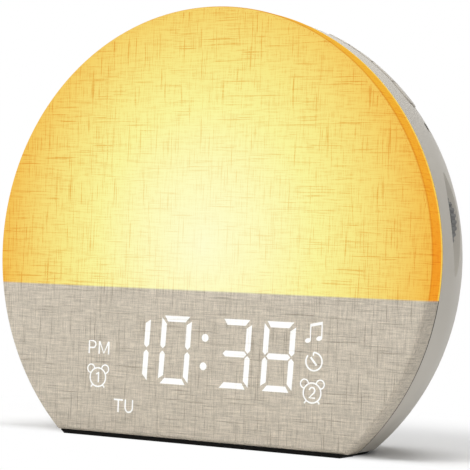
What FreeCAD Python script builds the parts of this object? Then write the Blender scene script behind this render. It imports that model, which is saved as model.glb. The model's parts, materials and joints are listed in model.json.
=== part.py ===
import FreeCAD, Part

import math
import os

from FreeCAD import Vector

# Sunrise alarm clock: a flat-bottomed disc whose linen front glows above and shows the time below,
# closed at the rear by a domed plastic housing with four rim keys and a recessed thumbwheel.
# Working frame: X to the right, Y from the front into the depth, Z up, origin at the centre of the
# round face on its front plane. place() sets the finished pieces on their resting plane.
# All sizes in millimetres, all angles in degrees.

# Whole clock
face_radius = 90.0
flat_drop = 66.5
body_depth = 58.6
corner_round = 1.2
pad_thickness = 1.4
pad_inset = 0.8

# Linen cover and the two front mouldings under it
linen_thickness = 0.8
linen_edge_round = 1.8
linen_depth = 9.1
cloth_gap = 0.1
front_wall = 2.0
front_side_wall = 1.8
split_drop = 12.3
split_gap = 0.2
slip_gap = 0.15

# Rear housing
seam_gap = 0.8
seam_step = 0.4
wall_draft = 1.1
shoulder_start = 18.0
shoulder_radius = 49.0
back_edge_radius = 14.0
housing_front = linen_depth + seam_gap
seam_radius = face_radius - seam_step
housing_wall = 2.4
housing_corner = 1.2
lip_width = 2.0
lip_reach = 2.4

# Reflector tray between the front and the boards
tray_wall = 1.6
tray_front_inset = 6.0
tray_rear_inset = 14.0
tray_front_radius = face_radius - tray_front_inset
tray_rear_radius = face_radius - tray_rear_inset
tray_floor_depth = 17.0
flange_depth = 6.4
divider_wall = 1.6

# Boards
board_thickness = 1.6
led_board_margin = 2.0
led_size = 3.0
led_height = 0.8
led_first_ring = 14.0
led_ring_pitch = 17.5
led_spacing = 13.0

# Seven-segment display, read through the linen
digit_height = 24.7
digit_width = 12.7
digit_pitch = 17.67
digit_slant = 2.5
stroke = 2.15
stroke_gap = 0.75
bar_start_tip = (1.15, 0.45)
bar_end_tip = (0.85, 0.55)
left_side_tip = (0.75, 0.85)
right_side_tip = (1.75, 0.95)
digits_drop = 34.35
last_digit_x = 32.65
colon_x = 2.4
colon_rise = 5.1
colon_radius = 1.45
window_gap = 0.05
icon_boxes = (
    (-43.1, -34.9, 10.6, 5.8),
    (-43.3, -45.6, 9.2, 8.8),
    (-31.3, -55.7, 9.4, 5.4),
    (46.4, -25.0, 7.6, 7.8),
    (46.4, -35.0, 7.6, 7.6),
    (46.4, -45.6, 9.2, 8.8),
)
display_block_depth = 6.0
display_trim_radius = 73.0
display_half_width = 54.0
display_top = 18.5
display_bottom = 59.7
display_block_margin = 0.3
display_led = (1.6, 0.8, 0.6)

# Case screws and their posts
case_post_inset = 34.0
case_post_radius = face_radius - case_post_inset
case_post_angles = (35.0, 145.0, 235.0, 305.0)
case_post_size = 4.6
case_post_front = 30.0
case_screw_web = 3.0
case_screw_radius = 1.5
case_screw_head_radius = 2.8
case_screw_head = 2.2
case_screw_length = 9.5
case_screw_cross = (1.6, 0.4, 1.0)
tray_boss_radius = 3.6
screw_gap = 0.1

# Main board and what it carries
board_depth = 33.0
board_left = -62.0
board_rim_inset = 7.2
board_rim_radius = seam_radius - board_rim_inset
board_low = -27.0
board_high = 24.0
board_posts = ((-56.0, -22.0), (-56.0, 18.0), (57.0, -22.0), (52.0, 12.0))
board_post_size = 3.4
board_screw_radius = 1.1
board_screw_head_radius = 2.1
board_screw_head = 1.6
board_screw_length = 8.0
chip_size = (14.0, 14.0, 1.6)
chip_spot = (0.0, -5.0)
capacitor_spots = ((-30.0, -18.0, 4.0, 9.0), (-18.0, -19.0, 3.2, 7.0), (-44.0, 6.0, 3.2, 7.0))

# Rim keys
key_angle = 53.0
key_depth = 27.0
key_bar_length = 44.4
key_bar_width = 8.8
key_count = 4
key_gap = 0.25
key_proud = 0.45
key_flange = 0.9
key_flange_height = 0.8
key_reach_in = 15.0
key_reach_out = 5.0
key_travel = 0.5
key_edge_break = 0.3
key_dish_radius = 30.0
key_dish_depth = 0.3
key_stem = 3.4
key_board_sink = 18.6
key_board_length = 80.0
key_board_width = 11.0
key_post_margin = 4.0
key_post_offset = key_board_length / 2 - key_post_margin
key_post = (5.0, 8.0)
key_screw_reach = 4.0
key_screw_hole = 5.0
switch_size = 6.0
switch_height = 3.5
plunger_radius = 1.6
plunger_out = 1.2
plunger_in = 1.3
plunger_well = 2.0
running_gap = 0.05

# Ambient light sensor behind its dark lens
sensor_run = 25.418
sensor_lens_radius = 2.0
sensor_lens_flange = 0.8
sensor_lens_sink = 0.25
sensor_board_offset = -26.5
sensor_chip = (3.0, 3.0, 2.0)

# Thumbwheel in its boat-shaped scoop
wheel_angle = 10.4
wheel_radius = 15.4
wheel_proud = 0.2
wheel_front = 19.6
wheel_thickness = 5.0
wheel_web = 2.0
wheel_hub_radius = 6.0
wheel_rim = 2.6
wheel_clearance = 0.4
wheel_teeth = 42
tooth_depth = 0.7
wheel_edge = 0.5
scoop_angle = 9.2
scoop_half_length = 19.8
scoop_dip = 5.6
scoop_front = 19.1
scoop_keel = 22.0
scoop_rear = 29.5
scoop_keel_round = 1.6
scoop_overcut = 3.0
shaft_radius = 3.0
shaft_flat = 2.3
dial_body = 13.0
dial_height = 6.6
dial_neck_radius = 4.2
dial_neck = 1.2
dial_corner = 1.2
shaft_end_gap = 0.2
shaft_tip_sink = 0.4
shaft_well = 5.2

# Loudspeaker and its grille
speaker_rise = 14.0
speaker_radius = 24.0
speaker_flange_width = 3.6
speaker_flange_thickness = 1.2
speaker_gasket_thickness = 1.0
speaker_board_gap = 2.9
magnet_radius = 15.0
magnet_height = 7.0
basket_wall = 1.2
basket_windows = 4
basket_window = (10.0, 3.0, 4.5)
magnet_plate = (1.5, 1.6)
cone_gap = 0.2
cone_lip = 0.8
cone_mouth_gap = 0.4
cone_wall = 0.8
dust_cap_radius = 7.0
grille_hole_radius = 1.1
grille_pitch = 4.2
grille_rings = 4
speaker_screw_circle = 26.6
speaker_screw_angles = (90.0, 200.0, 340.0)
speaker_boss_radius = 2.5
speaker_screw_head_radius = 3.6

# Backup cell behind a twist-off door
door_x = -38.0
door_z = -12.0
door_radius = 13.0
door_gap = 0.15
door_thickness = 2.2
door_neck_radius = 11.0
door_neck_wall = 1.2
ledge_thickness = 1.2
lug_reach = 1.2
lug_height = 1.2
lug_half_width = 4.0
door_turn = 40.0
cup_wall = 1.6
cell_headroom = 0.1
cell_radius = 10.0
cell_height = 3.2
cell_gap = 0.3
contact_thickness = 0.4
contact_radius = 5.0
contact_width = 3.0
side_contact_width = 10.0
cell_cap = (1.2, 0.4)
cell_lead_radius = 0.6
cell_lead_spots = (3.0, 9.4)
coin_slot = (14.0, 1.8, 1.0)
door_edge = 0.3

# Power inlet
jack_drop = 42.0
jack_nose_radius = 4.0
jack_hole_gap = 0.15
jack_body = (11.0, 11.0, 12.0)
jack_bore_radius = 2.8
jack_bore_depth = 9.5
jack_pin_radius = 1.0
jack_cradle = 1.4
jack_sink = 0.3
jack_pin_sink = 1.2
jack_pin_root = 1.5

# Leads inside the case
lead_radius = 1.1
lead_bend_share = 0.45
lead_rise = 4.0
key_lead_rise = 8.0
key_lead_dip = 6.0
lead_plug_run = 6.0
jack_lead_dip = 3.0
ribbon = (12.0, 0.6)
plug_size = (6.0, 4.6, 3.0)

eps = 0.01
far = 400.0
Y_AXIS = Vector(0, 1, 0)
ORIGIN = Vector(0, 0, 0)


# Helpers

def box(x0, x1, y0, y1, z0, z1):
    return Part.makeBox(x1 - x0, y1 - y0, z1 - z0, Vector(x0, y0, z0))


def rod(radius, y0, y1, x=0.0, z=0.0):
    """A cylinder along the depth."""
    return Part.makeCylinder(radius, y1 - y0, Vector(x, y0, z), Y_AXIS)


def rim_rod(radius, x0, x1, y=0.0, z=0.0):
    """A cylinder along X, which turn() then points at the rim."""
    return Part.makeCylinder(radius, x1 - x0, Vector(x0, y, z), Vector(1, 0, 0))


def turn(shape, angle):
    """Turn a piece about the depth axis, from +X towards +Z."""
    turned = shape.copy()
    turned.rotate(ORIGIN, Vector(0, -1, 0), angle)
    return turned


def spin(edges):
    """Revolve a closed outline of (radius, depth) about the depth axis."""
    face = Part.Face(Part.Wire(edges))
    return face.revolve(ORIGIN, Y_AXIS, 360)


def polyline(points):
    closed = list(points) + [points[0]]
    return [Part.LineSegment(Vector(*a), Vector(*b)).toShape() for a, b in zip(closed, closed[1:])]


def ring(points):
    """Revolve a plain polygon of (radius, depth) points."""
    return spin(polyline([(r, y, 0) for r, y in points]))


def above_flat(shape, drop):
    return shape.cut(box(-far, far, -far, far, -far, -drop))


def flat_disc(radius, y0, y1, drop):
    """A disc along the depth with the clock's flat at the bottom."""
    return above_flat(rod(radius, y0, y1), drop)


def flat_cone(r0, y0, r1, y1, drop):
    return above_flat(ring([(0, y0), (r0, y0), (r1, y1), (0, y1)]), drop)


def join(shapes):
    first, rest = shapes[0], shapes[1:]
    return first.fuse(rest).removeSplitter() if rest else first


def group(shapes):
    return Part.makeCompound(shapes)


def polar(radius, angle):
    return radius * math.cos(math.radians(angle)), radius * math.sin(math.radians(angle))


def place(shape):
    """Set a piece on the resting plane, centred under the clock."""
    placed = shape.copy()
    placed.translate(Vector(0, -body_depth / 2, flat_drop + pad_thickness))
    return placed


os.makedirs("parts", exist_ok=True)


def write(name, shape):
    place(shape).exportStep("parts/" + name + ".step")


# Outline of the rear housing

def housing_envelope(inset, y0=housing_front, drop=None):
    """The housing's outer body, drawn inwards by inset: a drafted wall, a shoulder arc, a back arc."""
    draft = math.radians(wall_draft)
    start = (seam_radius - (shoulder_start - housing_front) * math.tan(draft), shoulder_start)
    hub = (start[0] - shoulder_radius * math.cos(draft), start[1] - shoulder_radius * math.sin(draft))
    reach = shoulder_radius - back_edge_radius
    end = math.asin((body_depth - back_edge_radius - hub[1]) / reach)
    back_hub = (hub[0] + reach * math.cos(end), hub[1] + reach * math.sin(end))

    def on_shoulder(angle):
        size = shoulder_radius - inset
        return Vector(hub[0] + size * math.cos(angle), hub[1] + size * math.sin(angle), 0)

    def on_back(angle):
        size = back_edge_radius - inset
        return Vector(back_hub[0] + size * math.cos(angle), back_hub[1] + size * math.sin(angle), 0)

    first = on_shoulder(draft)
    front = Vector(first.x + (first.y - y0) * math.tan(draft), y0, 0)
    back = on_back(math.pi / 2)
    shoulder = Part.Arc(first, on_shoulder((draft + end) / 2), on_shoulder(end))
    back_edge = Part.Arc(on_back(end), on_back((end + math.pi / 2) / 2), back)
    edges = [
        Part.LineSegment(Vector(0, y0, 0), front).toShape(),
        Part.LineSegment(front, first).toShape(),
        shoulder.toShape(),
        back_edge.toShape(),
        Part.LineSegment(back, Vector(0, back.y, 0)).toShape(),
        Part.LineSegment(Vector(0, back.y, 0), Vector(0, y0, 0)).toShape(),
    ]
    body = spin(edges)
    return body if drop is None else above_flat(body, drop)


def face_block(radius, drop, y0, y1, corner):
    """The face's outline, a circle with a flat foot and eased corners, as a block."""
    block = flat_disc(radius, y0, y1, drop)
    corners = [e for e in block.Edges if abs(e.BoundBox.YLength - (y1 - y0)) < eps
               and e.BoundBox.XLength < eps and e.BoundBox.ZLength < eps and e.BoundBox.ZMin < -drop + eps]
    return block.makeFillet(corner, corners)


# Linen cover

inner_radius = face_radius - linen_thickness
inner_drop = flat_drop - linen_thickness
panel_radius = inner_radius - cloth_gap
panel_drop = inner_drop - cloth_gap
panel_front = linen_thickness + cloth_gap
panel_rear = linen_depth - cloth_gap


def linen_cover():
    outer = face_block(face_radius, flat_drop, 0, linen_depth, corner_round)
    front_loop = [e for e in outer.Edges if e.BoundBox.YMax < eps]
    outer = outer.makeFillet(linen_edge_round, front_loop)
    inner = flat_disc(inner_radius, linen_thickness, linen_depth + eps, inner_drop)
    return outer.cut(inner)


write("linen_cover", linen_cover())


# Light diffuser above the split, display panel below it

def front_dish():
    outer = face_block(panel_radius, panel_drop, panel_front, panel_rear, corner_round)
    inner = flat_disc(panel_radius - front_side_wall, panel_front + front_wall, panel_rear + 1,
                      panel_drop - front_side_wall)
    eased = [e for e in outer.Edges if e.BoundBox.YMax < panel_front + eps]
    return outer.makeFillet(linen_edge_round - linen_thickness, eased).cut(inner)


dish = front_dish()
upper_half = box(-far, far, -far, far, -split_drop + split_gap / 2, far)
lower_half = box(-far, far, -far, far, -far, -split_drop - split_gap / 2)
write("light_diffuser", dish.common(upper_half))


# Seven-segment shapes, as outlines of (x, z) about the middle of a digit

def segment_outlines():
    """The lower half is the upper half turned by 180 degrees; each tip has an outer and an inner cut."""
    a = digit_width / 2
    b = digit_height / 2
    w = stroke
    m = stroke_gap / 2
    top = [(-a + bar_start_tip[0], b), (a - bar_end_tip[0], b),
           (a - w - bar_end_tip[1], b - w), (-a + w + bar_start_tip[1], b - w)]
    right = [(a, b - right_side_tip[0]), (a, w / 2 + m), (a - w / 2, m),
             (a - w, w / 2 + m), (a - w, b - w - right_side_tip[1])]
    left = [(-a, b - left_side_tip[0]), (-a, w / 2 + m), (-a + w / 2, m),
            (-a + w, w / 2 + m), (-a + w, b - w - left_side_tip[1])]
    bar = [(-a + w / 2 + m, 0), (-a + w + m, w / 2), (a - w - m, w / 2),
           (a - w / 2 - m, 0), (a - w - m, -w / 2), (-a + w + m, -w / 2)]

    def turned_over(points):
        return [(-x, -z) for x, z in points]

    return {
        "top": top,
        "upper_right": right,
        "lower_right": turned_over(left),
        "bottom": turned_over(top),
        "lower_left": turned_over(right),
        "upper_left": left,
        "middle": bar,
    }


def prism(points, x, z, y0, y1, grow=0.0):
    """A leaning segment outline as a prism from y0 to y1, its sides moved out by grow."""
    lean = math.tan(math.radians(digit_slant))
    outline = [Vector(x + px + lean * pz, y0, z + pz) for px, pz in points]
    wire = Part.makePolygon(outline + [outline[0]])
    if grow:
        wire = wire.makeOffset2D(grow, 2)
    return Part.Face(wire).extrude(Vector(0, y1 - y0, 0))


def digit_centres():
    """The last digit first: three whole digits, then the leading one."""
    third = last_digit_x
    second = third - digit_pitch
    first = colon_x * 2 - second
    return third, second, first, first - digit_pitch


def display_cells(y0, y1, grow):
    """Every light cell of the display: digits, colon and the small signs' fields."""
    outlines = segment_outlines()
    cells = []
    centres = digit_centres()
    for x in centres[:3]:
        cells += [prism(points, x, -digits_drop, y0, y1, grow) for points in outlines.values()]
    for name in ("upper_right", "lower_right"):
        cells.append(prism(outlines[name], centres[3], -digits_drop, y0, y1, grow))
    lean = math.tan(math.radians(digit_slant))
    for rise in (colon_rise, -colon_rise):
        cells.append(rod(colon_radius + grow, y0, y1, colon_x + lean * rise, -digits_drop + rise))
    for x, z, width, height in icon_boxes:
        half_w, half_h = width / 2 + grow, height / 2 + grow
        cells.append(box(x - half_w, x + half_w, y0, y1, z - half_h, z + half_h))
    return cells


panel_back = panel_front + front_wall
windows = display_cells(panel_front - 1, panel_back + 1, 0.0)
display_panel = dish.common(lower_half).cut(windows)
write("display_panel", display_panel)
write("display_lightguides", group(display_cells(panel_front, panel_back, -window_gap)))

# Display module: a block of light-tight cells on its board

block_front = panel_back + cloth_gap
block_rear = block_front + display_block_depth


def display_field(y0, y1, margin):
    field = box(-display_half_width + margin, display_half_width - margin, y0, y1,
                -display_bottom + margin, -display_top - margin)
    return field.common(rod(display_trim_radius - margin, y0, y1))


display_block = display_field(block_front, block_rear, display_block_margin)
display_block = display_block.cut(display_cells(block_front - 1, block_rear + 1, 0.0))
write("display_block", display_block)
write("display_board", display_field(block_rear, block_rear + board_thickness, 0.0))


def display_leds():
    wide, tall, high = display_led
    chips = []
    for cell in display_cells(block_front, block_rear, -window_gap):
        middle = cell.CenterOfMass
        chips.append(box(middle.x - tall / 2, middle.x + tall / 2, block_rear - high, block_rear,
                         middle.z - wide / 2, middle.z + wide / 2))
    return group(chips)


write("display_leds", display_leds())

# Reflector tray: flange, drum wall, floor, divider and bosses in one moulding

tray_floor_rear = tray_floor_depth + tray_wall
flange_rear = flange_depth + tray_wall
flange_radius = panel_radius - front_side_wall - slip_gap
flange_drop = panel_drop - front_side_wall - slip_gap
drum_drop = flange_drop - lip_width - slip_gap
display_board_rear = block_rear + board_thickness
board_boss_spots = ((-50.0, -22.0), (50.0, -21.5), (-42.0, -52.0), (42.0, -52.0))
board_boss_radius = 2.6
lead_hole = 5.0
led_lead_spot = (-20.0, 20.0)
ribbon_spot = (0.0, -45.0)


def tray():
    outer = flat_cone(tray_front_radius + tray_wall, flange_depth, tray_rear_radius + tray_wall,
                      tray_floor_rear, drum_drop)
    flange = flat_disc(flange_radius, flange_depth, flange_rear, flange_drop)
    inner = flat_cone(tray_front_radius, flange_depth - eps, tray_rear_radius, tray_floor_depth,
                      drum_drop - tray_wall)
    body = join([outer, flange]).cut(inner)
    divider = box(-flange_radius, flange_radius, block_front, tray_floor_depth + tray_wall / 2,
                  -split_drop - divider_wall, -split_drop)
    room = flat_cone(tray_front_radius + tray_wall / 2, flange_depth, tray_rear_radius + tray_wall / 2,
                     tray_floor_rear, drum_drop)
    divider = divider.common(flat_disc(flange_radius, block_front, flange_rear, flange_drop).fuse(room))
    bosses = []
    for angle in case_post_angles:
        x, z = polar(case_post_radius, angle)
        bosses.append(rod(tray_boss_radius, tray_floor_depth + tray_wall / 2,
                          case_post_front - screw_gap, x, z))
    for x, z in board_boss_spots:
        bosses.append(rod(board_boss_radius, display_board_rear, tray_floor_depth + tray_wall / 2, x, z))
    body = join([body, divider] + bosses)
    holes = []
    for angle in case_post_angles:
        x, z = polar(case_post_radius, angle)
        tip = case_post_front + case_screw_web - case_screw_length
        holes.append(rod(case_screw_radius + running_gap, tip - 1, case_post_front, x, z))
    holes.append(rod(lead_hole / 2, tray_floor_depth - 1, tray_floor_rear + 1, *led_lead_spot))
    rx, rz = ribbon_spot
    holes.append(box(rx - ribbon[0] / 2 - 1, rx + ribbon[0] / 2 + 1, tray_floor_depth - 1,
                     tray_floor_rear + 1, rz - 1.5, rz + 1.5))
    return body.cut(holes)


write("reflector_tray", tray())

# LED board on the tray's floor

led_board_front = tray_floor_depth - board_thickness
led_board_low = -split_drop + led_board_margin


def led_board():
    disc = rod(tray_rear_radius - led_board_margin, led_board_front, tray_floor_depth)
    board = disc.cut(box(-far, far, 0, far, -far, led_board_low))
    return board.cut(rod(lead_hole / 2, 0, far, *led_lead_spot))


def led_chips():
    chips = []
    half = led_size / 2
    rim = tray_rear_radius - led_board_margin - led_size
    rings = int((rim - led_first_ring) / led_ring_pitch) + 1
    for ring_number in range(rings):
        radius = led_first_ring + led_ring_pitch * ring_number
        count = int(round(2 * math.pi * radius / led_spacing))
        for step in range(count):
            x, z = polar(radius, 90 + 360 * (step + 0.5) / count)
            if z < led_board_low + led_size:
                continue
            if math.hypot(x - led_lead_spot[0], z - led_lead_spot[1]) < lead_hole:
                continue
            chips.append(box(x - half, x + half, led_board_front - led_height, led_board_front,
                             z - half, z + half))
    return group(chips)


write("led_board", led_board())
write("led_chips", led_chips())

# Scoop and wheel slot, both drawn at angle zero and then turned to their place


def surface_radius(y):
    """The housing's outer radius at depth y on its shoulder."""
    draft = math.radians(wall_draft)
    start = seam_radius - (shoulder_start - housing_front) * math.tan(draft)
    if y <= shoulder_start:
        return seam_radius - (y - housing_front) * math.tan(draft)
    hub_y = shoulder_start - shoulder_radius * math.sin(draft)
    angle = math.asin((y - hub_y) / shoulder_radius)
    return start - shoulder_radius * (math.cos(draft) - math.cos(angle))


wheel_middle = wheel_front + wheel_thickness / 2
wheel_rear = wheel_front + wheel_thickness
wheel_hub_x = surface_radius(wheel_middle) + wheel_proud - wheel_radius


def scoop_cutter(grow):
    """A blunt wedge swept round an axis outside the case, so that its footprint is a pointed boat."""
    surface = surface_radius(scoop_keel)
    keel = surface - scoop_dip
    end_x, end_z = polar(surface, math.degrees(scoop_half_length / surface))
    sweep = ((end_x - keel) ** 2 + end_z ** 2) / (2 * (end_x - keel))
    axis_x = keel + sweep
    top = surface + scoop_overcut
    front_slope = (scoop_keel - scoop_front) / scoop_dip
    rear_slope = (scoop_rear - scoop_keel) / (surface_radius(scoop_rear) - keel)
    reach = top - keel
    wedge = [
        (axis_x - keel + grow, scoop_keel),
        (axis_x - top, scoop_keel + rear_slope * reach + grow),
        (axis_x - top, scoop_keel - front_slope * reach - grow),
    ]
    blade = ring(wedge)
    keel_edges = [e for e in blade.Edges if e.BoundBox.XLength > 2 * (axis_x - keel + grow) - eps]
    blade = blade.makeFillet(scoop_keel_round + grow, keel_edges)
    blade.translate(Vector(axis_x, 0, 0))
    return turn(blade, scoop_angle)


def wheel_slot():
    slot = rod(wheel_radius + wheel_clearance, wheel_front - wheel_clearance, wheel_rear + wheel_clearance,
               wheel_hub_x)
    return turn(slot, wheel_angle)


# Rim keys, drawn at angle zero

key_surface = surface_radius(key_depth)
key_board_distance = key_surface - key_board_sink


def key_bar(half_length, half_width, x0, x1):
    """A bar with round ends, standing along X."""
    straight = half_length - half_width
    middle = box(x0, x1, key_depth - half_width, key_depth + half_width, -straight, straight)
    ends = [rim_rod(half_width, x0, x1, key_depth, z) for z in (-straight, straight)]
    return join([middle] + ends)


def key_spans():
    """Each key's low and high end along the bar, with a gap between neighbours."""
    length = key_bar_length - 2 * key_gap
    pitch = (length + 2 * key_gap) / key_count
    low = -length / 2
    spans = []
    for index in range(key_count):
        z0 = low + index * pitch
        spans.append((z0, z0 + pitch - 2 * key_gap))
    return spans


key_slot = turn(key_bar(key_bar_length / 2, key_bar_width / 2, key_surface - key_reach_in,
                        key_surface + key_reach_out), key_angle)
plunger_base = key_board_distance + board_thickness
plunger_top = plunger_base + switch_height + plunger_out


def key_cap(z0, z1):
    """One cap: a crowned bar proud of the case, a flange that stays inside, and a stem to its switch."""
    half_width = key_bar_width / 2 - key_gap
    under = housing_wall + key_gap / 2
    inside = housing_envelope(under + key_flange_height)
    outline = key_bar(key_bar_length / 2 - key_gap, half_width, key_surface - key_reach_in,
                      key_surface + key_reach_out)
    cap = outline.common(box(0, far, 0, far, z0, z1)).common(housing_envelope(-key_proud)).cut(inside)
    cap = cap.makeChamfer(key_edge_break, [e for e in cap.Edges if key_on_crown(e)])
    low = z0 - key_flange if z0 < 1 - key_bar_length / 2 else z0
    high = z1 + key_flange if z1 > key_bar_length / 2 - 1 else z1
    wide = key_bar(key_bar_length / 2 + key_flange, key_bar_width / 2 + key_flange,
                   key_surface - key_reach_in, key_surface + key_reach_out)
    flange = wide.common(box(0, far, 0, far, low, high)).common(housing_envelope(under)).cut(inside)
    middle = (z0 + z1) / 2
    half_stem = key_stem / 2
    stem = box(plunger_top + running_gap, key_surface, key_depth - half_stem, key_depth + half_stem,
               middle - half_stem, middle + half_stem)
    return join([cap, flange, stem.common(housing_envelope(under + key_flange_height / 2))])


def key_on_crown(edge):
    """Whether an edge lies on the key's outer, crowned face."""
    crown = housing_envelope(-key_proud)
    middle = edge.valueAt((edge.FirstParameter + edge.LastParameter) / 2)
    return crown.Shells[0].distToShape(Part.Vertex(middle))[0] < eps


def plunger(z):
    bottom = plunger_base + switch_height - plunger_in
    return rim_rod(plunger_radius, bottom, plunger_top, key_depth, z)


spans = key_spans()
for index, (z0, z1) in enumerate(spans):
    number = str(index + 1)
    write("key_cap_" + number, turn(key_cap(z0, z1), key_angle))
    write("switch_plunger_" + number, turn(plunger((z0 + z1) / 2), key_angle))


def key_switches():
    bodies = []
    for z0, z1 in spans:
        z = (z0 + z1) / 2
        half = switch_size / 2
        body = box(plunger_base, plunger_base + switch_height, key_depth - half, key_depth + half,
                   z - half, z + half)
        well = rim_rod(plunger_radius + running_gap, plunger_base + switch_height - plunger_well,
                       plunger_base + switch_height + 1, key_depth, z)
        bodies.append(body.cut(well))
    return turn(group(bodies), key_angle)


def key_board():
    half_l, half_w = key_board_length / 2, key_board_width / 2
    board = box(key_board_distance, plunger_base, key_depth - half_w, key_depth + half_w, -half_l, half_l)
    for z in (-key_post_offset, key_post_offset):
        board = board.cut(rim_rod(board_screw_radius + screw_gap, key_board_distance - 1, plunger_base + 1,
                                  key_depth, z))
    return turn(board, key_angle)


def key_board_screws():
    screws = []
    for z in (-key_post_offset, key_post_offset):
        head = rim_rod(board_screw_head_radius, key_board_distance - board_screw_head, key_board_distance,
                       key_depth, z)
        shank = rim_rod(board_screw_radius, key_board_distance - eps, plunger_base + key_screw_reach,
                        key_depth, z)
        screws.append(join([head, shank]))
    return turn(group(screws), key_angle)


def key_posts():
    posts = []
    along, deep = key_post
    for z in (-key_post_offset, key_post_offset):
        post = box(plunger_base, key_surface, key_depth - deep / 2, key_depth + deep / 2,
                   z - along / 2, z + along / 2)
        hole = rim_rod(board_screw_radius + running_gap, plunger_base - 1, plunger_base + key_screw_hole,
                       key_depth, z)
        posts.append(post.cut(hole))
    return [turn(post, key_angle) for post in posts]


write("key_switches", key_switches())
write("key_board", key_board())
write("key_board_screws", key_board_screws())

# Light sensor

sensor_surface = surface_radius(key_depth)
sensor_angle = key_angle - math.degrees(math.atan(sensor_run / key_board_distance))
sensor_inner = sensor_surface - housing_wall


def sensor_lens():
    pin = rim_rod(sensor_lens_radius, sensor_inner - sensor_lens_flange, sensor_surface + key_reach_out,
                  key_depth)
    pin = turn(pin, sensor_angle).common(housing_envelope(sensor_lens_sink))
    collar = rim_rod(sensor_lens_radius + sensor_lens_flange, sensor_inner - 2 * sensor_lens_flange,
                     sensor_inner + 2, key_depth)
    collar = turn(collar, sensor_angle).common(housing_envelope(housing_wall + running_gap))
    return join([pin, collar])


def light_sensor():
    wide, deep, high = sensor_chip
    chip = box(plunger_base, plunger_base + high, key_depth - deep / 2, key_depth + deep / 2,
               sensor_board_offset - wide / 2, sensor_board_offset + wide / 2)
    return turn(chip, key_angle)


write("sensor_lens", sensor_lens())
write("light_sensor", light_sensor())

# Rear housing

back_inner = body_depth - housing_wall
seat_depth = body_depth - door_thickness
groove_rear = seat_depth - ledge_thickness
groove_front = groove_rear - lug_height - 2 * door_gap
cup_floor_depth = groove_front - cell_headroom - cell_height - contact_thickness
cup_radius = door_radius + door_gap + cup_wall
screw_seat = case_post_front + case_screw_web


def grille_holes():
    holes = [rod(grille_hole_radius, back_inner - 1, body_depth + 1, 0, speaker_rise)]
    for number in range(1, grille_rings + 1):
        count = 6 * number
        for step in range(count):
            x, z = polar(number * grille_pitch, 360 * step / count)
            holes.append(rod(grille_hole_radius, back_inner - 1, body_depth + 1, x, speaker_rise + z))
    return holes


def lug_pair(radius, half_width, y0, y1):
    """Two bayonet lugs at the ends of the door's cross bar."""
    return rod(radius, y0, y1).common(box(-far, far, y0, y1, -half_width, half_width))


def door_pocket():
    """The door's seat, the ledge with its two lug notches, the bayonet groove and the cell's well."""
    seat = rod(door_radius + door_gap, seat_depth, body_depth + 1)
    throat = rod(door_neck_radius + door_gap, groove_front, seat_depth + 1)
    notches = turn(lug_pair(door_neck_radius + lug_reach + door_gap, lug_half_width + door_gap,
                            groove_front, seat_depth + 1), -door_turn)
    groove = rod(door_neck_radius + lug_reach + door_gap, groove_front, groove_rear)
    well = rod(cell_radius + cell_gap + contact_thickness, cup_floor_depth, groove_front + 1)
    leads = [rod(cell_lead_radius + screw_gap, cup_floor_depth - cup_wall - 1, cup_floor_depth + 1, x)
             for x in cell_lead_spots]
    return [at_door(cut) for cut in [seat, throat, notches, groove, well] + leads]


def at_door(shape):
    return shape.translated(Vector(door_x, 0, door_z))


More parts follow.
